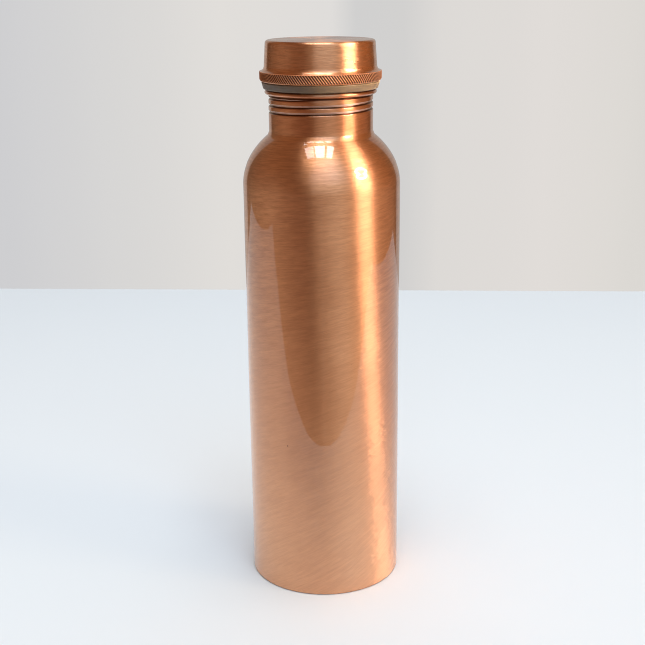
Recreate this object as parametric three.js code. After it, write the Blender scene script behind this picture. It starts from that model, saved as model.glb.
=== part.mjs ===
// Copper water bottle with a screw-in cap, closed and standing upright.
// Millimetres, +Z up. The origin is the centre of the foot, on the surface it stands on.
import * as THREE from 'three';
import { mergeVertices } from 'three/addons/utils/BufferGeometryUtils.js';

// Sheet thickness, the clearance between touching pieces, and how finely round shapes are faceted.
const SHEET = 0.6;
const GAP = 0.3;
const SEGMENTS = 36;

// Body: a straight cylinder with a hem at the foot and an elliptical shoulder.
const BODY_RADIUS = 38;
const FOOT_BEND = 1;
const HEM_BEND = 0.7;
const HEM_HEIGHT = 4.5;
const SHOULDER_START = 202.4;
const SHOULDER_HALF_WIDTH = 57.5;
const SHOULDER_RISE = 37.75;
const SHOULDER_END_DEGREES = 38;

// Neck and its rolled lip.
const NECK_RADIUS = 24.85;
const NECK_ROOT = 228.2;
const NECK_ROOT_FLARE = 0.25;
const LIP_BOTTOM = 245.1;
const LIP_TOP = 247.2;
const LIP_CENTRE_RADIUS = 25.3;
const LIP_RADIUS = 26.6;

// Thread: a single right-hand helix. The height is where a turn crosses the -Y side of the neck.
const THREAD_PITCH = 3.2;
const THREAD_FRONT_HEIGHT = 237.7;
const THREAD_FIRST_TURN = 236.4;
const THREAD_LAST_TURN = 244.3;
const THREAD_FADE = 0.8;
const THREAD_HALF_WIDTH = 0.7;
const NECK_THREAD_DEPTH = 0.7;
const PLUG_THREAD_HEIGHT = 0.75;
const THREAD_ROWS_PER_TURN = 5;

// Gasket between the lip and the cap.
const GASKET_FOOT_RADIUS = 27.3;
const GASKET_RADIUS = 28;
const GASKET_CORNER = 0.4;

// Cap: hem, flange, cove, tapered side and slightly crowned top.
const CAP_BOTTOM = 251;
const CAP_HEM_RADIUS = 26;
const CAP_HEM_BEND = 1.6;
const CAP_FLANGE_RADIUS = 28.9;
const CAP_FLANGE_BULGE = 252.6;
const CAP_FLANGE_TOP = 255.8;
const CAP_FLANGE_CORNER = 0.2;
const CAP_SIDE_START = 258.5;
const CAP_SIDE_RADIUS = 26.65;
const CAP_EDGE_RADIUS = 26;
const CAP_EDGE_BEND = 1.4;
const CAP_TOP = 270;
const CAP_CROWN = 0.2;

// Plug: the threaded cup under the cap.
const PLUG_BOTTOM = 235;
const PLUG_RADIUS = 23.2;
const PLUG_BEND = 1;

// Points on a stretch of an ellipse in the (radius, height) plane, from one angle to another in degrees.
function arc(centreRadius, centreHeight, halfWidth, halfHeight, fromDegrees, toDegrees, steps) {
  const points = [];
  for (let i = 0; i <= steps; i += 1) {
    const angle = THREE.MathUtils.degToRad(fromDegrees + ((toDegrees - fromDegrees) * i) / steps);
    points.push([
      centreRadius + halfWidth * Math.cos(angle),
      centreHeight + halfHeight * Math.sin(angle),
    ]);
  }
  return points;
}

// Points up or down a straight wall, close enough together to carry a thread.
function threadedWall(radius, fromHeight, toHeight) {
  const rows = Math.ceil((Math.abs(toHeight - fromHeight) / THREAD_PITCH) * THREAD_ROWS_PER_TURN);
  const points = [];
  for (let i = 0; i <= rows; i += 1) {
    points.push([radius, fromHeight + ((toHeight - fromHeight) * i) / rows]);
  }
  return points;
}

// How much of the thread's height there is at a point, from 0 to 1. It rises by one pitch in each turn,
// anticlockwise from above, and it fades in and out at its two ends. The shift raises the whole thread.
function threadProfile(x, y, z, shift) {
  const turnsFromFront = (Math.atan2(y, x) + Math.PI / 2) / (2 * Math.PI);
  const frontHeight = THREAD_FRONT_HEIGHT + shift;
  const turn = Math.round((z - frontHeight) / THREAD_PITCH - turnsFromFront);
  const crest = frontHeight + (turn + turnsFromFront) * THREAD_PITCH;
  const offset = Math.min(Math.abs(z - crest) / THREAD_HALF_WIDTH, 1);
  const first = THREAD_FIRST_TURN + shift;
  const last = THREAD_LAST_TURN + shift;
  const fadeIn = THREE.MathUtils.smoothstep(crest, first, first + THREAD_FADE);
  const fadeOut = 1 - THREE.MathUtils.smoothstep(crest, last - THREAD_FADE, last);
  return Math.cos((offset * Math.PI) / 2) ** 2 * fadeIn * fadeOut;
}

// Moves the points between two heights outwards by the thread's height, or inwards where it is negative.
function cutThread(geometry, { bottom, top, height, shift }) {
  const position = geometry.getAttribute('position');
  for (let i = 0; i < position.count; i += 1) {
    const x = position.getX(i);
    const y = position.getY(i);
    const z = position.getZ(i);
    const radius = Math.hypot(x, y);
    if (z > bottom && z < top && radius > 0) {
      const scale = 1 + (height * threadProfile(x, y, z, shift)) / radius;
      position.setXY(i, x * scale, y * scale);
    }
  }
}

// A turned solid from the outline of its section, as [radius, height] points. They run anticlockwise with
// the radius to the right and the height up, and either start and end on the axis or go all the way round.
function turned(outline, thread) {
  const points = outline.map(([radius, height]) => new THREE.Vector2(radius, height));
  if (outline[0][0] > 0) {
    points.push(points[0].clone());
  }
  const lathe = new THREE.LatheGeometry(points, SEGMENTS);
  lathe.rotateX(Math.PI / 2);
  lathe.deleteAttribute('normal');
  lathe.deleteAttribute('uv');
  const geometry = mergeVertices(lathe);
  if (thread) {
    cutThread(geometry, thread);
  }
  const solid = geometry.toNonIndexed();
  solid.computeVertexNormals();
  return solid;
}

// The shell: hem at the foot, cylinder, shoulder, neck with its rolled thread, and rolled lip.
function bottleBody() {
  const innerRadius = BODY_RADIUS - SHEET;
  const hemOuter = innerRadius - 2 * GAP - SHEET;
  const hemInner = hemOuter - SHEET;
  const hem = [
    [hemInner, HEM_HEIGHT],
    ...arc(hemInner + HEM_BEND, HEM_BEND, HEM_BEND, HEM_BEND, 180, 270, 2),
    ...arc(BODY_RADIUS - FOOT_BEND, FOOT_BEND, FOOT_BEND, FOOT_BEND, 270, 360, 3),
  ];
  const insideHem = [
    [innerRadius, SHEET],
    [hemOuter, SHEET],
    [hemOuter, HEM_HEIGHT],
  ];

  const centre = BODY_RADIUS - SHOULDER_HALF_WIDTH;
  const width = SHOULDER_HALF_WIDTH;
  const rise = SHOULDER_RISE;
  const end = SHOULDER_END_DEGREES;
  const shoulder = arc(centre, SHOULDER_START, width, rise, 0, end, 8);
  const insideShoulder = arc(centre, SHOULDER_START, width - SHEET, rise - SHEET, end, 0, 8);

  const neckInner = NECK_RADIUS - SHEET;
  const threadBottom = PLUG_BOTTOM + GAP;
  const neck = [
    [NECK_RADIUS + NECK_ROOT_FLARE, NECK_ROOT - 1],
    [NECK_RADIUS, NECK_ROOT],
    ...threadedWall(NECK_RADIUS, threadBottom, LIP_BOTTOM),
  ];
  const insideNeck = [
    ...threadedWall(neckInner, LIP_BOTTOM, threadBottom),
    [neckInner, NECK_ROOT],
  ];

  const lipHalfWidth = LIP_RADIUS - LIP_CENTRE_RADIUS;
  const lipHalfHeight = (LIP_TOP - LIP_BOTTOM) / 2;
  const lip = [
    ...arc(LIP_CENTRE_RADIUS, LIP_BOTTOM + lipHalfHeight, lipHalfWidth, lipHalfHeight, -90, 90, 6),
    [neckInner + GAP, LIP_TOP],
    [neckInner, LIP_TOP - GAP],
  ];

  const outline = [...hem, ...shoulder, ...neck, ...lip, ...insideNeck, ...insideShoulder, ...insideHem];
  return turned(outline, {
    bottom: threadBottom,
    top: LIP_BOTTOM,
    height: -NECK_THREAD_DEPTH,
    shift: 0,
  });
}

// The pressed bottom: a shallow dish, upside down, whose rim stands in the hem at the foot.
function baseDisc() {
  const rimOuter = BODY_RADIUS - SHEET - GAP;
  const rimInner = rimOuter - SHEET;
  const rimBottom = SHEET + GAP;
  const underside = HEM_HEIGHT + GAP;
  const topside = underside + SHEET;
  return turned([
    [0, underside],
    [rimInner, underside],
    [rimInner, rimBottom],
    [rimOuter, rimBottom],
    ...arc(rimOuter - SHEET, topside - SHEET, SHEET, SHEET, 0, 90, 3),
    [0, topside],
  ]);
}

// The silicone ring: flat under its foot, flared outside, with a step up inside the cap's hem.
function gasketRing() {
  const bottom = LIP_TOP + GAP;
  const shoulder = CAP_BOTTOM - GAP;
  const top = CAP_BOTTOM + SHEET;
  const bore = PLUG_RADIUS + GAP;
  const step = CAP_HEM_RADIUS - GAP;
  return turned([
    [bore, bottom],
    [GASKET_FOOT_RADIUS - GASKET_CORNER, bottom],
    [GASKET_FOOT_RADIUS, bottom + GASKET_CORNER],
    [GASKET_RADIUS, shoulder - GASKET_CORNER],
    [GASKET_RADIUS - GASKET_CORNER, shoulder],
    [step, shoulder],
    [step, top],
    [bore, top],
  ]);
}

// The spun cap, one sheet from the middle of its top down to the hem that it turns in at the bottom.
function capShell() {
  const bulgeHeight = CAP_FLANGE_BULGE - CAP_BOTTOM;
  const hemCentre = CAP_FLANGE_RADIUS - CAP_HEM_BEND;
  const edgeCentre = CAP_EDGE_RADIUS - CAP_EDGE_BEND;
  const edgeHeight = CAP_TOP - CAP_EDGE_BEND;
  const innerBend = CAP_EDGE_BEND - SHEET;
  const coveCentre = CAP_FLANGE_RADIUS - CAP_FLANGE_CORNER;
  const coveWidth = coveCentre - CAP_SIDE_RADIUS;
  const coveHeight = CAP_SIDE_START - CAP_FLANGE_TOP;
  const inside = [
    [0, CAP_TOP + CAP_CROWN - SHEET],
    ...arc(edgeCentre, edgeHeight, innerBend, innerBend, 90, 0, 3),
    ...arc(coveCentre, CAP_SIDE_START, coveWidth + SHEET, coveHeight + SHEET, 180, 255, 5),
    [CAP_FLANGE_RADIUS - SHEET, CAP_FLANGE_TOP - SHEET - CAP_FLANGE_CORNER],
    ...arc(hemCentre, CAP_FLANGE_BULGE, CAP_HEM_BEND - SHEET, bulgeHeight - SHEET, 0, -90, 3),
    [CAP_HEM_RADIUS, CAP_BOTTOM + SHEET],
  ];
  const outside = [
    [CAP_HEM_RADIUS, CAP_BOTTOM],
    ...arc(hemCentre, CAP_FLANGE_BULGE, CAP_HEM_BEND, bulgeHeight, -90, 0, 5),
    [CAP_FLANGE_RADIUS, CAP_FLANGE_TOP - CAP_FLANGE_CORNER],
    ...arc(coveCentre, CAP_SIDE_START, coveWidth, coveHeight, 270, 180, 5),
    ...arc(edgeCentre, edgeHeight, CAP_EDGE_BEND, CAP_EDGE_BEND, 0, 90, 5),
    [0, CAP_TOP + CAP_CROWN],
  ];
  return turned([...inside, ...outside]);
}

// The threaded cup under the cap, open upwards, with the brim that the cap's hem holds.
function capPlug() {
  const inner = PLUG_RADIUS - SHEET;
  const brimBottom = CAP_BOTTOM + SHEET + GAP;
  const brimRadius = CAP_FLANGE_RADIUS - CAP_HEM_BEND;
  const threadBottom = PLUG_BOTTOM + PLUG_BEND + GAP;
  const outline = [
    [0, PLUG_BOTTOM],
    ...arc(PLUG_RADIUS - PLUG_BEND, PLUG_BOTTOM + PLUG_BEND, PLUG_BEND, PLUG_BEND, -90, 0, 3),
    ...threadedWall(PLUG_RADIUS, threadBottom, LIP_TOP),
    [PLUG_RADIUS, brimBottom],
    [brimRadius, brimBottom],
    [brimRadius, brimBottom + SHEET],
    [inner, brimBottom + SHEET],
    [inner, PLUG_BOTTOM + SHEET],
    [0, PLUG_BOTTOM + SHEET],
  ];
  return turned(outline, {
    bottom: threadBottom,
    top: LIP_TOP,
    height: PLUG_THREAD_HEIGHT,
    shift: THREAD_PITCH / 2,
  });
}

function piece(name, geometry, colour, roughness, metalness) {
  const material = new THREE.MeshStandardMaterial({ color: colour, roughness, metalness });
  const mesh = new THREE.Mesh(geometry, material);
  mesh.name = name;
  return mesh;
}

const bottle = new THREE.Group();
bottle.add(piece('bottle_body', bottleBody(), 0xb5734c, 0.33, 1));
bottle.add(piece('base_disc', baseDisc(), 0xad6a45, 0.42, 1));
bottle.add(piece('gasket_ring', gasketRing(), 0x9c9183, 0.6, 0));
bottle.add(piece('cap_shell', capShell(), 0xb26e47, 0.3, 1));
bottle.add(piece('cap_plug', capPlug(), 0xbc7a55, 0.38, 1));

export default bottle;
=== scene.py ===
"""Lacquered copper water bottle with a knurled screw-in cap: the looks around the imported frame.

Lengths are in metres, and +Z is up.
"""
import math

import bpy
from mathutils import Matrix, Vector


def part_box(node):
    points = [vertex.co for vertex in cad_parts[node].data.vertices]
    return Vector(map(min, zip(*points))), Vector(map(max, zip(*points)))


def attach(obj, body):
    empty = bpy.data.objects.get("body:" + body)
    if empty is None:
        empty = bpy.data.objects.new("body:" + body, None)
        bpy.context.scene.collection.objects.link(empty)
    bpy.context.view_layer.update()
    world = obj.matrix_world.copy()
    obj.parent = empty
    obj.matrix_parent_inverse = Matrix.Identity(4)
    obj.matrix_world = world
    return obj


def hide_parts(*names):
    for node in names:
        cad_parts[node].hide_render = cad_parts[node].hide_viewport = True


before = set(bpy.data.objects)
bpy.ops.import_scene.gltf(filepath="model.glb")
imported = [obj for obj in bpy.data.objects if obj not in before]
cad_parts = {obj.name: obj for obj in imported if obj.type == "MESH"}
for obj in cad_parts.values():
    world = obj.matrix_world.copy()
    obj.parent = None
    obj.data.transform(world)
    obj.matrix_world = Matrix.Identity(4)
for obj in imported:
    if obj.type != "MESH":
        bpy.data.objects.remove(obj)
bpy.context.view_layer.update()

MM = 0.001
TURN = 2 * math.pi

# Sizes that the frame gives.
BODY_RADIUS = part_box("bottle_body")[1].x
LIP_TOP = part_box("bottle_body")[1].z
BASE_RIM_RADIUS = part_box("base_disc")[1].x
BASE_RIM_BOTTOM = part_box("base_disc")[0].z
BASE_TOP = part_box("base_disc")[1].z
GASKET_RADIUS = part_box("gasket_ring")[1].x
GASKET_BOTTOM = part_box("gasket_ring")[0].z
GASKET_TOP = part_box("gasket_ring")[1].z
CAP_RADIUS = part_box("cap_shell")[1].x
CAP_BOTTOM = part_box("cap_shell")[0].z
CAP_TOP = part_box("cap_shell")[1].z
BRIM_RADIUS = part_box("cap_plug")[1].x
PLUG_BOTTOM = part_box("cap_plug")[0].z
BRIM_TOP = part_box("cap_plug")[1].z

# Sizes that repeat the part's own. The shoulder is a stretch of an ellipse, up to SHOULDER_END degrees.
SHEET = 0.6 * MM
GAP = 0.3 * MM
HEM_HEIGHT = 4.5 * MM
SHOULDER_START = 202.4 * MM
SHOULDER_HALF_WIDTH = 57.5 * MM
SHOULDER_RISE = 37.75 * MM
SHOULDER_END = 38.4
NECK_RADIUS = 24.85 * MM
NECK_ROOT = 227.9 * MM
LIP_BOTTOM = 245.1 * MM
LIP_CENTRE_RADIUS = 25.3 * MM
LIP_RADIUS = 26.6 * MM
PLUG_RADIUS = 23.2 * MM
HEM_RADIUS = 26 * MM
FLANGE_BULGE = 252.6 * MM
FLANGE_TOP = 255.8 * MM
SIDE_START = 258.5 * MM
SIDE_RADIUS = 26.65 * MM
EDGE_RADIUS = 26 * MM
EDGE_BEND = 1.4 * MM
CAP_CROWN = 0.2 * MM

THREAD_PITCH = 3.2 * MM
THREAD_FRONT_HEIGHT = 237.7 * MM
THREAD_FIRST_TURN = 236.4 * MM
THREAD_LAST_TURN = 244.3 * MM
THREAD_FADE = 0.8 * MM
THREAD_DEPTH = 0.7 * MM
THREAD_HALF_WIDTH = 0.95 * MM

# The knurl leans by KNURL_LEAN radians round the cap for each metre of height.
KNURL_RIDGES = 140
KNURL_BOTTOM = 251.5 * MM
KNURL_TOP = 255.5 * MM
KNURL_DEPTH = 0.34 * MM
KNURL_LEAN = 26.2

# Points round the axis. On the cap, each ridge of the knurl has the same number of them.
SEGMENTS = 288
CAP_SEGMENTS = 2 * KNURL_RIDGES
KNURL_SEGMENTS = 8 * KNURL_RIDGES


# Outlines: lists of (radius, height) points.

def line(start, end, steps):
    """Points on a straight line, both ends included."""
    return [tuple(a + (b - a) * i / steps for a, b in zip(start, end)) for i in range(steps + 1)]


def arc(centre, half_width, half_height, start, end, steps):
    """Points on a stretch of an ellipse between two angles in degrees."""
    points = []
    for i in range(steps + 1):
        angle = math.radians(start + (end - start) * i / steps)
        points.append((centre[0] + half_width * math.cos(angle), centre[1] + half_height * math.sin(angle)))
    return points


def smoothstep(value, low, high):
    """A soft step from 0 at low to 1 at high."""
    t = min(max((value - low) / (high - low), 0.0), 1.0)
    return t * t * (3 - 2 * t)


def thread(angle, height, shift, half_width):
    """How much of a right-hand thread stands at a point of a wall, from 0 to 1."""
    turns_from_front = ((angle + TURN / 4) / TURN + 0.5) % 1 - 0.5
    front_height = THREAD_FRONT_HEIGHT + shift
    turn = round((height - front_height) / THREAD_PITCH - turns_from_front)
    crest = front_height + (turn + turns_from_front) * THREAD_PITCH
    offset = min(abs(height - crest) / half_width, 1.0)
    first = THREAD_FIRST_TURN + shift
    last = THREAD_LAST_TURN + shift
    fade_in = smoothstep(crest, first, first + THREAD_FADE)
    fade_out = 1 - smoothstep(crest, last - THREAD_FADE, last)
    return math.cos(offset * math.pi / 2) ** 2 * fade_in * fade_out


# Meshes.

def add_object(name, data):
    """A new object of the scene."""
    piece = bpy.data.objects.new(name, data)
    bpy.context.scene.collection.objects.link(piece)
    return piece


def ring_faces(first, first_count, second, second_count):
    """Faces between two rings of points, where one count is a multiple of the other, or 1 on the axis."""
    faces = []
    if first_count == 1 or second_count == 1:
        count = max(first_count, second_count)
        for j in range(count):
            k = (j + 1) % count
            if first_count == 1:
                faces.append((first, second + k, second + j))
            else:
                faces.append((first + j, first + k, second))
        return faces
    count = min(first_count, second_count)
    first_share = first_count // count
    second_share = second_count // count
    for j in range(count):
        low = [first + (j * first_share + i) % first_count for i in range(first_share + 1)]
        high = [second + (j * second_share + i) % second_count for i in range(second_share + 1)]
        faces.append(tuple(low + high[::-1]))
    return faces


def turned(name, outline, segments, relief=None, sharp_degrees=40):
    """A closed turned solid.

    The outline runs anticlockwise, with the radius to the right and the height up, and either starts and ends
    on the axis or goes all the way round. segments is a number, or a function of the point. relief gives how
    far a point at an angle, radius and height moves outwards, and the mesh keeps how far each point has moved
    inwards as groove_depth.
    """
    vertices = []
    depths = []
    rings = []
    for radius, height in outline:
        count = segments(radius, height) if callable(segments) else segments
        if radius == 0:
            count = 1
        rings.append((len(vertices), count))
        for j in range(count):
            angle = TURN * j / count
            shift = relief(angle, radius, height) if relief and radius else 0
            reach = radius + shift
            vertices.append((reach * math.cos(angle), reach * math.sin(angle), height))
            depths.append(-shift)
    pairs = list(zip(rings, rings[1:]))
    if outline[0][0] > 0:
        pairs.append((rings[-1], rings[0]))
    faces = []
    for (first, first_count), (second, second_count) in pairs:
        faces += ring_faces(first, first_count, second, second_count)
    mesh = bpy.data.meshes.new(name)
    mesh.from_pydata(vertices, [], faces)
    mesh.polygons.foreach_set("use_smooth", [True] * len(faces))
    mesh.set_sharp_from_angle(angle=math.radians(sharp_degrees))
    mesh.attributes.new("groove_depth", "FLOAT", "POINT").data.foreach_set("value", depths)
    return add_object(name, mesh)


# Pieces.

def hand_made(angle, height):
    """The slight unevenness of a spun and hand-polished wall: two long waves and two short ripples."""
    wave = 0.035 * math.sin(3 * angle + 41 * height) + 0.03 * math.sin(2 * angle - 67 * height + 1)
    ripple = 0.012 * math.sin(7 * angle + 130 * height + 2) + 0.01 * math.sin(5 * angle - 190 * height)
    return (wave + ripple) * MM


def bottle_shell():
    """The shell: hem at the foot, cylinder, shoulder, neck with its rolled thread, and rolled lip.

    The neck's outer wall has the second material.
    """
    inner_radius = BODY_RADIUS - SHEET
    hem_outer = inner_radius - 2 * GAP - SHEET
    hem_inner = hem_outer - SHEET
    foot_bend = 1.0 * MM
    hem_bend = 0.7 * MM
    foot_centre = (BODY_RADIUS - foot_bend, foot_bend)
    shoulder_centre = (BODY_RADIUS - SHOULDER_HALF_WIDTH, SHOULDER_START)
    neck_inner = NECK_RADIUS - SHEET
    thread_bottom = PLUG_BOTTOM + GAP
    root_bend = 1.2 * MM
    root_angle = 39
    lip_middle = (LIP_CENTRE_RADIUS, (LIP_BOTTOM + LIP_TOP) / 2)
    lip_half_height = (LIP_TOP - LIP_BOTTOM) / 2
    slot_bottom = LIP_BOTTOM - 0.95 * MM
    slot_depth = 0.5 * MM
    wall_set_in = 0.08 * MM
    outline = line((hem_inner, HEM_HEIGHT), (hem_inner, hem_bend), 2)[:-1]
    outline += arc((hem_inner + hem_bend, hem_bend), hem_bend, hem_bend, 180, 270, 5)
    outline += arc(foot_centre, foot_bend, foot_bend, 270, 360, 8)
    outline += line((BODY_RADIUS, 2 * foot_bend), (BODY_RADIUS, SHOULDER_START), 44)[:-1]
    outline += arc(shoulder_centre, SHOULDER_HALF_WIDTH, SHOULDER_RISE, 0, SHOULDER_END, 30)
    outline += arc((NECK_RADIUS + root_bend, NECK_ROOT), root_bend, root_bend, 180 + root_angle, 180, 6)[1:]
    outline += line((NECK_RADIUS, NECK_ROOT + MM), (NECK_RADIUS, thread_bottom), 3)[:-1]
    outline += line((NECK_RADIUS, thread_bottom), (NECK_RADIUS, slot_bottom), 68)
    outline += [(NECK_RADIUS, slot_bottom + slot_depth / 3), (NECK_RADIUS, LIP_BOTTOM)]
    outline += arc(lip_middle, LIP_RADIUS - LIP_CENTRE_RADIUS, lip_half_height, -90, 90, 16)
    outline += arc((neck_inner + GAP, LIP_TOP - GAP), GAP, GAP, 90, 180, 4)
    outline += line((neck_inner, LIP_BOTTOM - GAP), (neck_inner, thread_bottom), 60)
    outline += line((neck_inner, thread_bottom - MM), (neck_inner, NECK_ROOT), 3)
    outline += arc(shoulder_centre, SHOULDER_HALF_WIDTH - SHEET, SHOULDER_RISE - SHEET, SHOULDER_END, 0, 20)
    outline += line((inner_radius, SHOULDER_START - MM), (inner_radius, SHEET), 12)
    outline += line((hem_outer, SHEET), (hem_outer, HEM_HEIGHT), 1)

    def relief(angle, radius, height):
        if slot_bottom < height <= LIP_BOTTOM and neck_inner < radius <= NECK_RADIUS:
            return -slot_depth
        if thread_bottom < height < LIP_BOTTOM and radius < NECK_RADIUS + GAP:
            return -THREAD_DEPTH * thread(angle, height, 0, THREAD_HALF_WIDTH)
        if height < SHOULDER_START + SHOULDER_RISE / 2 and radius > hem_outer:
            return hand_made(angle, height) * smoothstep(height, HEM_HEIGHT, 5 * HEM_HEIGHT) - wall_set_in
        return 0

    shell = turned("bottle_shell", outline, SEGMENTS, relief)
    for face in shell.data.polygons:
        middle = face.center
        faces_out = face.normal.x * middle.x + face.normal.y * middle.y > 0
        face.material_index = int(thread_bottom < middle.z < LIP_BOTTOM and faces_out)
    return shell


def bottom_disc():
    """The pressed bottom, with two shallow steps round a flat middle and a rim that stands in the hem."""
    rim_inner = BASE_RIM_RADIUS - SHEET
    underside = BASE_TOP - SHEET
    step = 0.35 * MM
    step_radius = 27 * MM
    bend = 1.2 * MM
    outline = [(0, underside + step)]
    outline += line((step_radius / 3, underside + step), (step_radius, underside + step), 4)
    outline += line((step_radius + 2 * step, underside), (rim_inner - 2 * step, underside), 4)
    outline += line((rim_inner, underside - 2 * step), (rim_inner, BASE_RIM_BOTTOM), 2)
    outline += [(BASE_RIM_RADIUS, BASE_RIM_BOTTOM)]
    outline += arc((BASE_RIM_RADIUS - bend, BASE_TOP - bend), bend, bend, 0, 90, 8)
    outline += line((step_radius + 2 * step, BASE_TOP), (step_radius, BASE_TOP - step / 3), 2)
    outline += [(step_radius / 3, BASE_TOP - step / 3), (0, BASE_TOP - step / 3)]
    return turned("bottom_disc", outline, SEGMENTS)


def seal():
    """The silicone ring, flared outside, with soft corners and a step up inside the cap's hem."""
    bore = PLUG_RADIUS + GAP
    foot_radius = 27.3 * MM
    shoulder = CAP_BOTTOM - GAP / 6
    step = HEM_RADIUS - GAP
    low_bend = 0.8 * MM
    high_bend = 0.4 * MM
    wave = 0.03 * MM
    set_in = 0.04 * MM
    outline = line((bore, GASKET_BOTTOM), (foot_radius - low_bend, GASKET_BOTTOM), 6)
    outline += arc((foot_radius - low_bend, GASKET_BOTTOM + low_bend), low_bend, low_bend, -75, -20, 6)
    outline += arc((GASKET_RADIUS - high_bend, shoulder - high_bend), high_bend, high_bend, -20, 90, 10)
    outline += [(step + GAP, shoulder), (step, shoulder + GAP)]
    outline += line((step, GASKET_TOP), (bore, GASKET_TOP), 4)

    def relief(angle, radius, height):
        if radius > foot_radius:
            return wave * math.sin(3 * angle + 1) - set_in
        return 0

    return turned("seal_ring", outline, SEGMENTS, relief)


def cap_cover():
    """The spun cap: hem, knurled flange, cove, tapered side and slightly crowned top.

    The knurl has the second material.
    """
    crown = CAP_TOP - CAP_CROWN
    hem_bend = 1.6 * MM
    corner = 0.25 * MM
    bulge = FLANGE_BULGE - CAP_BOTTOM
    hem_centre = (CAP_RADIUS - hem_bend, FLANGE_BULGE)
    edge_centre = (EDGE_RADIUS - EDGE_BEND, crown - EDGE_BEND)
    cove_centre = (CAP_RADIUS - corner, SIDE_START)
    cove_width = cove_centre[0] - SIDE_RADIUS
    cove_height = SIDE_START - FLANGE_TOP
    side_join = 0.5 * MM
    knurl_fade_in = (KNURL_BOTTOM - 0.2 * MM, KNURL_BOTTOM + 0.4 * MM)
    knurl_fade_out = (KNURL_TOP - 0.1 * MM, KNURL_TOP + 0.15 * MM)
    outline = [(0, CAP_TOP - SHEET)]
    outline += line((EDGE_RADIUS / 3, CAP_TOP - SHEET), (edge_centre[0], crown - SHEET), 3)
    outline += arc(edge_centre, EDGE_BEND - SHEET, EDGE_BEND - SHEET, 90, 0, 4)[1:]
    outline += arc(cove_centre, cove_width + SHEET, cove_height + SHEET, 180, 255, 8)
    outline += [(CAP_RADIUS - SHEET, FLANGE_TOP - SHEET - corner)]
    outline += arc(hem_centre, hem_bend - SHEET, bulge - SHEET, 0, -90, 5)
    outline += [(HEM_RADIUS, CAP_BOTTOM + SHEET), (HEM_RADIUS, CAP_BOTTOM + SHEET / 3)]
    outline += line((HEM_RADIUS + SHEET / 3, CAP_BOTTOM), (hem_centre[0], CAP_BOTTOM), 2)[:-1]
    outline += arc(hem_centre, hem_bend, bulge, -90, 0, 18)
    outline += line((CAP_RADIUS, FLANGE_BULGE + corner), (CAP_RADIUS, FLANGE_TOP - corner), 10)
    outline += arc((CAP_RADIUS - corner, FLANGE_TOP - corner), corner, corner, 0, 90, 4)[1:]
    outline += arc(cove_centre, cove_width, cove_height, 268, 180, 14)
    outline += line((SIDE_RADIUS, SIDE_START + side_join), (EDGE_RADIUS, crown - EDGE_BEND), 6)[:-1]
    outline += arc(edge_centre, EDGE_BEND, EDGE_BEND, 3, 90, 14)
    outline += line((edge_centre[0] - MM, crown), (0, CAP_TOP), 8)

    def is_knurled(radius, height):
        return KNURL_BOTTOM - MM < height < FLANGE_TOP and radius > CAP_RADIUS - hem_bend + SHEET

    def segments(radius, height):
        return KNURL_SEGMENTS if is_knurled(radius, height) else CAP_SEGMENTS

    def relief(angle, radius, height):
        if not is_knurled(radius, height) or radius < CAP_RADIUS - hem_bend / 2:
            return 0
        fade = smoothstep(height, *knurl_fade_in)
        fade *= 1 - smoothstep(height, *knurl_fade_out)
        phase = KNURL_RIDGES * (angle + KNURL_LEAN * (height - KNURL_BOTTOM)) / 2
        return -KNURL_DEPTH * fade * math.cos(phase) ** 2

    cover = turned("cap_cover", outline, segments, relief, sharp_degrees=50)
    for face in cover.data.polygons:
        middle = face.center
        radius = math.hypot(middle.x, middle.y)
        face.material_index = int(is_knurled(radius, middle.z) and middle.z > KNURL_BOTTOM)
    return cover


def threaded_plug():
    """The threaded cup under the cap, open upwards, with the brim that the cap's hem holds."""
    bend = 1.0 * MM
    inner = PLUG_RADIUS - SHEET
    brim_bottom = CAP_BOTTOM + SHEET + GAP
    thread_bottom = PLUG_BOTTOM + bend + GAP
    dish = 0.4 * MM
    ridge_height = 0.72 * MM
    ridge_half_width = 0.75 * MM
    outline = [(0, PLUG_BOTTOM + dish)]
    outline += line((PLUG_RADIUS / 2, PLUG_BOTTOM + dish), (PLUG_RADIUS - 5 * bend, PLUG_BOTTOM + dish), 3)
    outline += line((PLUG_RADIUS - 4 * bend, PLUG_BOTTOM), (PLUG_RADIUS - bend, PLUG_BOTTOM), 2)[:-1]
    outline += arc((PLUG_RADIUS - bend, PLUG_BOTTOM + bend), bend, bend, -90, 0, 8)
    outline += line((PLUG_RADIUS, thread_bottom), (PLUG_RADIUS, LIP_TOP), 80)
    outline += line((PLUG_RADIUS, LIP_TOP + MM), (PLUG_RADIUS, brim_bottom), 3)
    outline += [(BRIM_RADIUS, brim_bottom), (BRIM_RADIUS, BRIM_TOP), (inner, BRIM_TOP)]
    outline += [(inner, PLUG_BOTTOM + SHEET + dish), (0, PLUG_BOTTOM + SHEET + dish)]

    def relief(angle, radius, height):
        if thread_bottom < height < LIP_TOP and radius > inner + GAP:
            return ridge_height * thread(angle, height, THREAD_PITCH / 2, ridge_half_width)
        return 0

    return turned("threaded_plug", outline, SEGMENTS, relief)


# Materials.

# The sockets of a Mix node that carry colours.
MIX_FIRST = 6
MIX_SECOND = 7
MIX_RESULT = 2

# Most of a noise's values are between these two.
NOISE_LOW = 0.3
NOISE_HIGH = 0.7

# Heights between which the copper's look changes. The dome and the neck have theirs in full between the
# second height and the third.
FOOT = (0, 100 * MM)
BODY = (10 * MM, 200 * MM)
UPPER_BODY = (100 * MM, 200 * MM)
DOME = (200 * MM, 210 * MM, 222 * MM, 228 * MM)
NECK = (226 * MM, 231 * MM, 247 * MM, 249 * MM)

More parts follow.
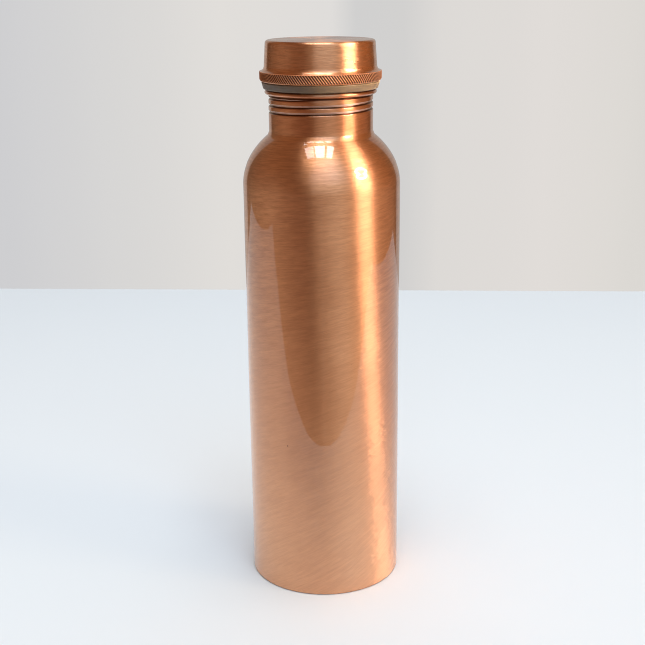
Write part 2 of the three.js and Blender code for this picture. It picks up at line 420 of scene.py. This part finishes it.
# Painted reflection: the copper is made paler towards the foot, for more of the pale table that it mirrors.
FOOT_REFLECTION_TINT = (1.1, 1.28, 1.45, 1)
# Painted shade: the neck is made darker than the rest of the copper.
NECK_SHADE_TINT = (0.92, 0.82, 0.74, 1)
PIT_COLOUR = (0.05, 0.022, 0.012, 1)
PIT_COVER = 0.85
PIT_DEPTH = 2.0
# Painted shade that darkens the grooves of the neck's thread and of the knurl.
GROOVE_SHADE_COLOUR = (0.06, 0.022, 0.011, 1)
# Painted highlight on the thread's flank that faces down, for the pale table that it mirrors.
FLANK_HIGHLIGHT_COLOUR = (0.95, 0.68, 0.56, 1)

# How strongly the fine lines, the coarse lines and the scratches of the brushing shade the copper, how high
# they stand, and how far the scratches lean the other way.
SHADE_WEIGHTS = (0.22, 0.28, 0.1)
HEIGHT_WEIGHTS = (0.6, 0.9, 0.5)
CROSSING = 0.6


class Graph:
    """The nodes of one material or world, with short calls to add and join them."""

    def __init__(self, owner):
        owner.use_nodes = True
        self.tree = owner.node_tree
        self.tree.nodes.clear()

    def add(self, kind, inputs=None, **settings):
        node = self.tree.nodes.new(kind)
        for name, value in settings.items():
            setattr(node, name, value)
        for name, value in (inputs or {}).items():
            self.feed(node.inputs[name], value)
        return node

    def feed(self, socket, value):
        if isinstance(value, bpy.types.NodeSocket):
            self.tree.links.new(value, socket)
        else:
            socket.default_value = value

    def output(self, shader, kind="ShaderNodeOutputMaterial"):
        self.feed(self.add(kind).inputs["Surface"], shader.outputs[0])

    def math(self, operation, first, second=0.0, clamp=False):
        node = self.add("ShaderNodeMath", {0: first, 1: second}, operation=operation, use_clamp=clamp)
        return node.outputs[0]

    def weighted(self, *pairs):
        """The sum of values, each times its weight."""
        parts = [self.math("MULTIPLY", value, weight) for value, weight in pairs]
        total = parts[0]
        for part in parts[1:]:
            total = self.math("ADD", total, part)
        return total

    def vector(self, x, y, z):
        return self.add("ShaderNodeCombineXYZ", {0: x, 1: y, 2: z}).outputs[0]

    def noise(self, vector, scale=1.0, detail=2.0, roughness=0.5):
        inputs = {"Vector": vector, "Scale": scale, "Detail": detail, "Roughness": roughness}
        return self.add("ShaderNodeTexNoise", inputs).outputs["Fac"]

    def span(self, value, low, high, to_low=0.0, to_high=1.0):
        """Runs from to_low to to_high as the value goes from low to high."""
        inputs = {"Value": value, "From Min": low, "From Max": high, "To Min": to_low, "To Max": to_high}
        return self.add("ShaderNodeMapRange", inputs).outputs[0]

    def drawn_out(self, noise, to_low=0.0, to_high=1.0):
        """A noise whose usual values fill this range."""
        return self.span(noise, NOISE_LOW, NOISE_HIGH, to_low, to_high)

    def window(self, value, start, full, full_end, end):
        """0 outside start to end, and 1 from full to full_end."""
        return self.math("MULTIPLY", self.span(value, start, full), self.span(value, full_end, end, 1.0, 0.0))

    def mix(self, factor, first, second, blend="MIX"):
        node = self.add("ShaderNodeMix", data_type="RGBA", blend_type=blend)
        self.feed(node.inputs["Factor"], factor)
        self.feed(node.inputs[MIX_FIRST], first)
        self.feed(node.inputs[MIX_SECOND], second)
        return node.outputs[MIX_RESULT]


def lathe_coordinates(graph):
    """Object coordinates of a turned piece: x, y, height, and the distance along its outline."""
    place = graph.add("ShaderNodeTexCoord").outputs["Object"]
    split = graph.add("ShaderNodeSeparateXYZ", {0: place})
    x, y, z = split.outputs
    radius = graph.math("SQRT", graph.math("ADD", graph.math("MULTIPLY", x, x), graph.math("MULTIPLY", y, y)))
    return place, x, y, z, graph.math("SUBTRACT", z, radius)


def brushing(graph, x, y, along, length, pitch, detail=2.0):
    """Noise drawn out round the axis into lines of about this length and pitch, in metres."""
    stretch = graph.vector(
        graph.math("MULTIPLY", x, 1 / length),
        graph.math("MULTIPLY", y, 1 / length),
        graph.math("MULTIPLY", along, 1 / pitch),
    )
    return graph.noise(stretch, detail=detail, roughness=0.6)


def pits(graph, place):
    """1 in small spots and 0 elsewhere. Each cell of a pattern has one spot or none."""
    cells_per_metre = 70.0
    spot_core = 0.016
    spot_edge = 0.03
    empty_share = 0.45
    cells = graph.add("ShaderNodeTexVoronoi", {"Vector": place, "Scale": cells_per_metre, "Randomness": 1.0})
    spot = graph.span(cells.outputs["Distance"], spot_core, spot_edge, 1.0, 0.0)
    kind = graph.add("ShaderNodeSeparateColor", {0: cells.outputs["Color"]}).outputs[0]
    return graph.math("MULTIPLY", spot, graph.math("GREATER_THAN", kind, empty_share))


def copper(name, light, deep, roughness=0.36, lacquer=1.0, anisotropy=0.85, grain=1.0, slant=(0.0, 0.0),
           groove=None, flank_highlight=False):
    """Brushed, lacquered copper on a turned piece.

    The brushing runs round the axis, and rises to the right by slant degrees at the foot and at the shoulder.
    grain makes it stronger. Near the foot the copper is painted paler, a painted reflection of the pale table
    that it stands on; on the neck it is painted darker, a painted shade; and on the dome it is rougher.
    groove gives the depths between which a dark painted shade fills the grooves. The painted shade fades
    where the surface turns away, or, with flank_highlight, on the flank that faces down, which has a painted
    highlight.
    """
    material = bpy.data.materials.new(name)
    graph = Graph(material)
    place, x, y, z, along = lathe_coordinates(graph)

    rise = graph.span(z, *BODY, *slant)
    shear = graph.math("MULTIPLY", graph.math("TANGENT", graph.math("RADIANS", rise)), BODY_RADIUS)
    angle = graph.math("ARCTAN2", y, x)
    brushed = graph.math("SUBTRACT", along, graph.math("MULTIPLY", shear, angle))
    crossed = graph.math("ADD", along, graph.math("MULTIPLY", shear, graph.math("MULTIPLY", angle, CROSSING)))
    fine = brushing(graph, x, y, brushed, length=5 * MM, pitch=0.4 * MM, detail=3.0)
    coarse = brushing(graph, x, y, brushed, length=10 * MM, pitch=1.2 * MM, detail=3.0)
    scratches = brushing(graph, x, y, crossed, length=3.5 * MM, pitch=0.4 * MM, detail=3.0)
    bands = brushing(graph, x, y, along, length=90 * MM, pitch=9 * MM)
    patches = graph.noise(place, scale=26.0, detail=3.0)
    pit = pits(graph, place)

    brushes = (fine, coarse, scratches)
    lines = [graph.drawn_out(brush, -1.0, 1.0) for brush in brushes]
    strength = graph.span(z, *UPPER_BODY, 0.7 * grain, 1.8 * grain)
    streaks = graph.math("MULTIPLY", graph.weighted(*zip(lines, SHADE_WEIGHTS)), strength)
    shade = graph.math("ADD", streaks, graph.drawn_out(patches, 0.3, 0.55))
    shade = graph.math("ADD", shade, graph.math("MULTIPLY", graph.drawn_out(bands), 0.1))
    colour = graph.mix(shade, deep, light)
    # Painted reflection: paler towards the foot.
    colour = graph.mix(graph.span(z, *FOOT, 0.8, 0.0), colour, FOOT_REFLECTION_TINT, "MULTIPLY")
    # Painted shade: darker on the neck.
    colour = graph.mix(graph.window(z, *NECK), colour, NECK_SHADE_TINT, "MULTIPLY")
    colour = graph.mix(graph.math("MULTIPLY", pit, PIT_COVER), colour, PIT_COLOUR)

    rough = graph.math("ADD", graph.drawn_out(fine, -0.05, 0.05), graph.drawn_out(patches, -0.04, 0.04))
    rough = graph.math("ADD", rough, roughness)
    rough = graph.math("ADD", rough, graph.math("MULTIPLY", graph.window(z, *DOME), 0.06))
    rough = graph.math("SUBTRACT", rough, graph.math("MULTIPLY", streaks, 0.08))

    if groove:
        # Painted shade: the grooves are darkened by their depth, and lose their lacquer with it.
        depth = graph.add("ShaderNodeAttribute", attribute_name="groove_depth").outputs["Fac"]
        groove_shade = graph.span(depth, *groove, 0.0, 0.9)
        if flank_highlight:
            # Painted highlight: the flank that faces down is painted pale and made rougher, and the painted
            # shade is taken off it.
            facing = graph.add("ShaderNodeNewGeometry").outputs["Normal"]
            upward = graph.add("ShaderNodeSeparateXYZ", {0: facing}).outputs[2]
            down_flank = graph.span(upward, -0.1, -0.3)
            groove_shade = graph.math("SUBTRACT", groove_shade, down_flank, clamp=True)
            colour = graph.mix(graph.math("MULTIPLY", down_flank, 0.8), colour, FLANK_HIGHLIGHT_COLOUR)
            rough = graph.math("ADD", rough, graph.math("MULTIPLY", down_flank, 0.25))
        else:
            # The painted shade fades where the surface turns away from the viewer.
            aslant = graph.add("ShaderNodeLayerWeight").outputs["Facing"]
            groove_shade = graph.math("MULTIPLY", groove_shade, graph.span(aslant, 0.3, 0.7, 1.0, 0.2))
        colour = graph.mix(groove_shade, colour, GROOVE_SHADE_COLOUR)
        lacquer = graph.math("MULTIPLY", graph.math("SUBTRACT", 1.0, groove_shade), lacquer)

    height = graph.weighted(*zip(brushes, HEIGHT_WEIGHTS))
    height = graph.math("SUBTRACT", height, graph.math("MULTIPLY", pit, PIT_DEPTH))
    relief = graph.span(z, *UPPER_BODY, 0.25 * grain, 0.47 * grain)
    bump = graph.add("ShaderNodeBump", {"Height": height, "Strength": relief, "Distance": 0.1 * MM})

    peel = graph.noise(place, scale=240.0)
    skin = graph.add("ShaderNodeBump", {"Height": peel, "Strength": 0.06, "Distance": 0.1 * MM})

    scatter = graph.math("SUBTRACT", scratches, 0.5)
    scatter = graph.math("MULTIPLY", scatter, graph.span(z, *BODY, 60.0, 12.0))
    turn = graph.math("DIVIDE", graph.math("ADD", rise, scatter), 360.0)
    tangent = graph.add("ShaderNodeTangent", direction_type="RADIAL", axis="Z")
    graph.output(graph.add("ShaderNodeBsdfPrincipled", {
        "Base Color": colour,
        "Metallic": 1.0,
        "Roughness": rough,
        "Normal": bump.outputs[0],
        "Anisotropic": anisotropy,
        "Anisotropic Rotation": graph.math("ADD", turn, 0.25),
        "Tangent": tangent.outputs[0],
        "Coat Weight": lacquer,
        "Specular Tint": (1.0, 0.88, 0.76, 1),
        "Coat Roughness": 0.012,
        "Coat IOR": 1.6,
        "Coat Tint": (1.0, 0.97, 0.93, 1),
        "Coat Normal": skin.outputs[0],
    }))
    return material


def silicone():
    """Slightly cloudy grey-beige silicone rubber."""
    material = bpy.data.materials.new("silicone")
    graph = Graph(material)
    dark = (0.125, 0.082, 0.051, 1)
    pale = (0.17, 0.112, 0.071, 1)
    place = graph.add("ShaderNodeTexCoord").outputs["Object"]
    cloud = graph.noise(place, scale=90.0, detail=3.0)
    grain = graph.noise(place, scale=1800.0)
    bump = graph.add("ShaderNodeBump", {"Height": grain, "Strength": 0.25, "Distance": 0.05 * MM})
    graph.output(graph.add("ShaderNodeBsdfPrincipled", {
        "Base Color": graph.mix(graph.drawn_out(cloud), dark, pale),
        "Roughness": graph.drawn_out(cloud, 0.38, 0.52),
        "IOR": 1.41,
        "Subsurface Weight": 0.7,
        "Subsurface Radius": (1.0, 0.9, 0.7),
        "Subsurface Scale": 3 * MM,
        "Normal": bump.outputs[0],
    }))
    return material


def table_top():
    """Plain pale paint, very slightly mottled."""
    material = bpy.data.materials.new("floor")
    graph = Graph(material)
    dark = (0.80, 0.82, 0.835, 1)
    pale = (0.83, 0.845, 0.855, 1)
    place = graph.add("ShaderNodeTexCoord").outputs["Object"]
    mottle = graph.noise(place, scale=3.0, detail=3.0)
    graph.output(graph.add("ShaderNodeBsdfPrincipled", {
        "Base Color": graph.mix(mottle, dark, pale),
        "Roughness": 0.7,
        "Specular IOR Level": 0.25,
    }))
    return material


def glow(name, colour, strength):
    """A surface that gives light."""
    material = bpy.data.materials.new(name)
    graph = Graph(material)
    graph.output(graph.add("ShaderNodeEmission", {"Color": colour, "Strength": strength}))
    return material


def paint(piece, *materials):
    """Gives a piece its materials, the main one first."""
    for material in materials:
        piece.data.materials.append(material)


# Stage.

# The table's edges. Its back edge moves by TABLE_SKEW for each metre to the right.
TABLE_LEFT = -0.87
TABLE_RIGHT = 0.71
TABLE_FRONT = -0.23
TABLE_BACK = 0.55
TABLE_SKEW = -0.056
FLOOR_REACH = 2.5

DAYLIGHT = (0.95, 0.98, 1.0)
SHADE_LIGHT = (0.478, 0.705, 0.885)
WARM_LIGHT = (1.0, 0.82, 0.55)
LAMP_LIGHT = (1.0, 0.91, 0.86, 1)


def flat(name, corners):
    """A flat four-cornered sheet of the stage, facing up, at the height that the bottle stands at."""
    mesh = bpy.data.meshes.new(name)
    mesh.from_pydata([(x, y, 0) for x, y in corners], [], [(0, 1, 2, 3)])
    piece = add_object(name, mesh)
    return piece


def floor():
    """A plain pale table top, and the floor round it, which continues it to the front and sides.

    The copper mirrors only the table itself, so the dark room shows round it there.
    """
    material = table_top()
    left_back = TABLE_BACK + TABLE_SKEW * TABLE_LEFT
    right_back = TABLE_BACK + TABLE_SKEW * TABLE_RIGHT
    front = ((TABLE_LEFT, TABLE_FRONT), (TABLE_RIGHT, TABLE_FRONT))
    table = flat("table", (*front, (TABLE_RIGHT, right_back), (TABLE_LEFT, left_back)))
    paint(table, material)
    reach = FLOOR_REACH
    far_left = (-reach, TABLE_BACK - TABLE_SKEW * reach)
    far_right = (reach, TABLE_BACK + TABLE_SKEW * reach)
    surround = (
        ((-reach, -reach), (reach, -reach), (reach, TABLE_FRONT), (-reach, TABLE_FRONT)),
        ((-reach, TABLE_FRONT), (TABLE_LEFT, TABLE_FRONT), (TABLE_LEFT, left_back), far_left),
        ((TABLE_RIGHT, TABLE_FRONT), (reach, TABLE_FRONT), far_right, (TABLE_RIGHT, right_back)),
    )
    for index, corners in enumerate(surround):
        strip = flat(f"floor_{index}", corners)
        paint(strip, material)
        strip.visible_glossy = False


def aim(obj, place, target):
    """Puts an object at a place and turns its -Z side to the target."""
    turn = (Vector(target) - Vector(place)).to_track_quat("-Z", "Y")
    obj.matrix_world = Matrix.Translation(place) @ turn.to_matrix().to_4x4()


def panel(name, place, size, target, radiance, colour):
    """A rectangular soft light, as bright as radiance says when it is looked at."""
    light = bpy.data.lights.new(name, "AREA")
    light.shape = "RECTANGLE"
    light.size, light.size_y = size
    light.color = colour
    light.energy = radiance * math.pi * size[0] * size[1]
    lamp = add_object(name, light)
    aim(lamp, place, target)
    lamp.visible_camera = False
    return lamp


def ceiling_window():
    """Three panes side by side overhead, with a narrow row of panes behind them."""
    height = 1.55
    panes = ((-0.44, -0.20, 6.0), (-0.17, 0.09, 11.5), (0.15, 0.33, 11.5))
    rows = (("pane", -0.37, 0.50), ("top_pane", 0.045, 0.09))
    for index, (left, right, radiance) in enumerate(panes):
        x = (left + right) / 2
        for name, y, depth in rows:
            size = (right - left, depth)
            panel(f"{name}_{index}", (x, y, height), size, (x, y, 0), radiance, DAYLIGHT)


def fill_lights():
    """Soft light that the copper doesn't mirror: from above, warmer from the right, and on the ring alone."""
    soft_top = panel(
        "soft_top",
        place=(0.2, 0.9, 2.2),
        size=(2.4, 2.4),
        target=(0.2, 0.9, 0),
        radiance=1.66,
        colour=SHADE_LIGHT,
    )
    soft_right = panel(
        "soft_right",
        place=(1.88, -0.76, 1.40),
        size=(0.6, 0.6),
        target=(0, 0, 0),
        radiance=7.2,
        colour=WARM_LIGHT,
    )
    seal_glow = panel(
        "seal_glow",
        place=(0.94, -0.38, 0.70),
        size=(0.4, 0.4),
        target=(0, 0, 0.25),
        radiance=90.0,
        colour=WARM_LIGHT,
    )
    for lamp in (soft_top, soft_right, seal_glow):
        lamp.visible_glossy = False
    lit = bpy.data.collections.new("seal_glow")
    lit.objects.link(bpy.data.objects["seal_ring"])
    seal_glow.light_linking.receiver_collection = lit


def ring_lamp():
    """A warm ring light to the front right, which shows only in what mirrors it."""
    place = (0.917, -0.430, 0.704)
    target = (0, 0, 0.2)
    outer = 0.19
    inner = 0.155
    count = 64
    strength = 118.0
    vertices = []
    for radius in (outer, inner):
        for j in range(count):
            angle = TURN * j / count
            vertices.append((radius * math.cos(angle), radius * math.sin(angle), 0))
    faces = [(j, (j + 1) % count, count + (j + 1) % count, count + j) for j in range(count)]
    mesh = bpy.data.meshes.new("ring_lamp")
    mesh.from_pydata(vertices, [], faces)
    lamp = add_object("ring_lamp", mesh)
    aim(lamp, place, target)
    lamp.visible_camera = False
    lamp.visible_diffuse = False
    lamp.visible_shadow = False
    paint(lamp, glow("ring_lamp", LAMP_LIGHT, strength))


# The room that the copper mirrors, by the angle round the bottle from its front, in degrees, to its right: in
# directions that go down, are about level, and go up. A pale wall and ceiling show to the front right.
ROOM_LOW = (
    (-180, (0.07, 0.04, 0.025)),
    (-140, (0.07, 0.04, 0.025)),
    (-115, (0.11, 0.05, 0.022)),
    (-85, (0.22, 0.125, 0.078)),
    (-60, (0.25, 0.132, 0.082)),
    (-40, (0.265, 0.14, 0.087)),
    (-28, (0.24, 0.12, 0.073)),
    (-16, (0.155, 0.074, 0.044)),
    (-10, (0.155, 0.075, 0.047)),
    (5, (0.17, 0.094, 0.064)),
    (15, (0.30, 0.215, 0.165)),
    (30, (0.45, 0.36, 0.29)),
    (45, (0.50, 0.38, 0.28)),
    (60, (0.48, 0.33, 0.21)),
    (88, (0.46, 0.22, 0.09)),
    (101, (0.38, 0.17, 0.07)),
    (120, (0.25, 0.10, 0.04)),
    (140, (0.11, 0.05, 0.022)),
    (180, (0.09, 0.045, 0.022)),
)
ROOM_MIDDLE = (
    (-180, (0.08, 0.045, 0.028)),
    (-145, (0.09, 0.05, 0.03)),
    (-115, (0.22, 0.13, 0.075)),
    (-85, (0.30, 0.18, 0.11)),
    (-60, (0.22, 0.13, 0.08)),
    (-40, (0.10, 0.05, 0.028)),
    (-16, (0.07, 0.034, 0.018)),
    (-12, (0.50, 0.46, 0.42)),
    (5, (0.54, 0.51, 0.47)),
    (30, (0.62, 0.60, 0.58)),
    (45, (0.58, 0.48, 0.37)),
    (60, (0.50, 0.29, 0.13)),
    (88, (0.50, 0.25, 0.10)),
    (110, (0.42, 0.20, 0.08)),
    (140, (0.20, 0.10, 0.045)),
    (180, (0.09, 0.05, 0.03)),
)
ROOM_HIGH = (
    (-180, (0.22, 0.13, 0.065)),
    (-115, (0.30, 0.17, 0.09)),
    (-60, (0.25, 0.14, 0.075)),
    (-40, (0.20, 0.11, 0.062)),
    (-22, (0.22, 0.17, 0.13)),
    (-10, (0.70, 0.95, 1.2)),
    (8, (0.88, 1.35, 1.85)),
    (22, (1.0, 1.6, 2.2)),
    (35, (0.95, 1.25, 1.4)),
    (50, (0.62, 0.54, 0.42)),
    (65, (0.46, 0.27, 0.14)),
    (110, (0.44, 0.24, 0.105)),
    (150, (0.25, 0.14, 0.07)),
    (180, (0.22, 0.13, 0.065)),
)
CEILING = (0.26, 0.165, 0.10, 1)

# Between these heights of a direction, where 1 is straight up, one level of the room passes into the next.
LOW_TO_MIDDLE = (-0.15, 0.0)
MIDDLE_TO_HIGH = (0.15, 0.5)
HIGH_TO_CEILING = (0.86, 0.93)

# The cloth behind the bottle as the copper mirrors it. It ends between these distances to the side, and
# between these heights, for each metre back.
CLOTH = (0.48, 0.465, 0.45, 1)
CLOTH_SIDE = (0.79, 0.83)
CLOTH_TOP = (0.7, 0.9)

# The cloth as the camera sees it, by how far a direction goes to the right for each metre it goes back.
BACKDROP = (
    (-0.27, (0.63, 0.63, 0.645)),
    (-0.17, (0.69, 0.68, 0.67)),
    (-0.08, (0.765, 0.74, 0.71)),
    (0.01, (0.75, 0.73, 0.71)),
    (0.03, (0.64, 0.635, 0.63)),
    (0.07, (0.65, 0.64, 0.63)),
    (0.10, (0.73, 0.705, 0.68)),
    (0.19, (0.765, 0.73, 0.70)),
    (0.27, (0.72, 0.695, 0.66)),
)
FOLD_SHADE = (0.5, 0.5, 0.51, 1)
FOLDS_ACROSS = 9.0
FOLDS_UP = 0.8
LEAST_DEPTH = 0.01


def ramp(graph, value, stops):
    """A colour that runs through these stops as value goes from 0 to 1."""
    node = graph.add("ShaderNodeValToRGB", {0: value})
    elements = node.color_ramp.elements
    while len(elements) < len(stops):
        elements.new(0.5)
    for element, (position, colour) in zip(elements, stops):
        element.position = position
        element.color = (*colour, 1)
    return node.outputs[0]


def mirrored_room(graph, x, y, z):
    """The room round the table, with the pale cloth behind it. x, y and z are a direction."""
    azimuth = graph.math("ARCTAN2", x, graph.math("MULTIPLY", y, -1.0))
    around = graph.math("ADD", graph.math("DIVIDE", azimuth, TURN), 0.5)
    levels = []
    for band in (ROOM_LOW, ROOM_MIDDLE, ROOM_HIGH):
        levels.append(ramp(graph, around, [(angle / 360 + 0.5, colour) for angle, colour in band]))
    low, middle, high = levels
    room = graph.mix(graph.span(z, *LOW_TO_MIDDLE), low, middle)
    room = graph.mix(graph.span(z, *MIDDLE_TO_HIGH), room, high)
    room = graph.mix(graph.span(z, *HIGH_TO_CEILING), room, CEILING)

    depth = graph.math("MAXIMUM", y, LEAST_DEPTH)
    across = graph.math("ABSOLUTE", graph.math("DIVIDE", x, depth))
    within_sides = graph.span(across, *CLOTH_SIDE, 1.0, 0.0)
    under_top = graph.span(graph.math("DIVIDE", z, depth), *CLOTH_TOP, 1.0, 0.0)
    return graph.mix(graph.math("MULTIPLY", within_sides, under_top), room, CLOTH)


def seen_backdrop(graph, x, y, z):
    """The softly shaded cloth that the camera sees, in front as behind. x, y and z are a direction."""
    depth = graph.math("MAXIMUM", graph.math("ABSOLUTE", y), LEAST_DEPTH)
    across = graph.math("DIVIDE", x, depth)
    fold_across = graph.math("MULTIPLY", across, FOLDS_ACROSS)
    folds = graph.noise(graph.vector(fold_across, 0.0, graph.math("MULTIPLY", z, FOLDS_UP)))
    first, last = BACKDROP[0][0], BACKDROP[-1][0]
    stops = [((at - first) / (last - first), colour) for at, colour in BACKDROP]
    cloth = ramp(graph, graph.span(across, first, last), stops)
    return graph.mix(graph.drawn_out(folds, 0.0, 0.08), cloth, FOLD_SHADE)


def surroundings():
    """The world: a plain pale cloth for the camera, and the room round the table for the copper to mirror."""
    world = bpy.data.worlds.new("surroundings")
    bpy.context.scene.world = world
    graph = Graph(world)
    direction = graph.add("ShaderNodeTexCoord").outputs["Generated"]
    x, y, z = graph.add("ShaderNodeSeparateXYZ", {0: direction}).outputs
    seen = graph.add("ShaderNodeLightPath").outputs["Is Camera Ray"]
    colour = graph.mix(seen, mirrored_room(graph, x, y, z), seen_backdrop(graph, x, y, z))
    background = graph.add("ShaderNodeBackground", {"Color": colour, "Strength": 1.0})
    graph.output(background, "ShaderNodeOutputWorld")


def camera():
    """In front of the bottle and a little above its cap, looking down at it, with a slight roll.

    Angles are in radians.
    """
    place = (-0.00025, -0.5665, 0.3015)
    pitch = 0.2913
    roll = -0.0102
    data = bpy.data.cameras.new("camera")
    data.sensor_width = 36.0
    data.lens = 65.84
    data.clip_start = 0.01
    view = add_object("camera", data)
    tilt = Matrix.Rotation(math.pi / 2 - pitch, 4, "X")
    view.matrix_world = Matrix.Translation(place) @ tilt @ Matrix.Rotation(roll, 4, "Z")
    bpy.context.scene.camera = view


def dress():
    """Makes each piece, paints it, and puts it on its body in place of its CAD node."""
    light = (0.80, 0.375, 0.187, 1)
    deep = (0.63, 0.274, 0.13, 1)
    crest = (0.80, 0.37, 0.19, 1)
    base_light = (0.78, 0.40, 0.22, 1)
    base_deep = (0.58, 0.27, 0.14, 1)
    plug_light = (0.86, 0.48, 0.29, 1)
    plug_deep = (0.74, 0.37, 0.20, 1)
    neck_groove = (0.08 * MM, 0.3 * MM)
    knurl_groove = (0.2 * KNURL_DEPTH, 0.5 * KNURL_DEPTH)
    wall = {"anisotropy": 0.93, "slant": (28.0, 4.0)}
    body_copper = copper("body_copper", light, deep, **wall)
    neck_copper = copper("neck_copper", light, deep, groove=neck_groove, flank_highlight=True, **wall)
    cap_copper = copper("cap_copper", light, deep, roughness=0.34, lacquer=0.8, anisotropy=0.95, grain=1.8)
    knurl_copper = copper(
        "knurl_copper", crest, deep, roughness=0.6, lacquer=0.3, anisotropy=0.0, groove=knurl_groove)
    base_copper = copper("base_copper", base_light, base_deep, roughness=0.42, lacquer=0.6)
    plug_copper = copper("plug_copper", plug_light, plug_deep, roughness=0.38, lacquer=0.3)
    pieces = (
        (bottle_shell(), "bottle", "bottle_body", "body_copper", (body_copper, neck_copper)),
        (bottom_disc(), "bottle", "base_disc", "base_copper", (base_copper,)),
        (seal(), "gasket", "gasket_ring", "silicone", (silicone(),)),
        (cap_cover(), "cap", "cap_shell", "cap_copper", (cap_copper, knurl_copper)),
        (threaded_plug(), "cap", "cap_plug", "plug_copper", (plug_copper,)),
    )
    for piece, body, node, slot, materials in pieces:
        paint(piece, *materials)
        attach(piece, body)
        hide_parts(node)


camera()
dress()
floor()
ceiling_window()
fill_lights()
ring_lamp()
surroundings()
bpy.context.scene.view_settings.view_transform = "Standard"

# The knurl's ridges are under 3 pixels wide in the picture. A narrow pixel filter, and denoiser guides that
# aren't smoothed, keep them.
bpy.context.scene.cycles.filter_width = 1.0
bpy.context.scene.cycles.denoising_prefilter = "NONE"
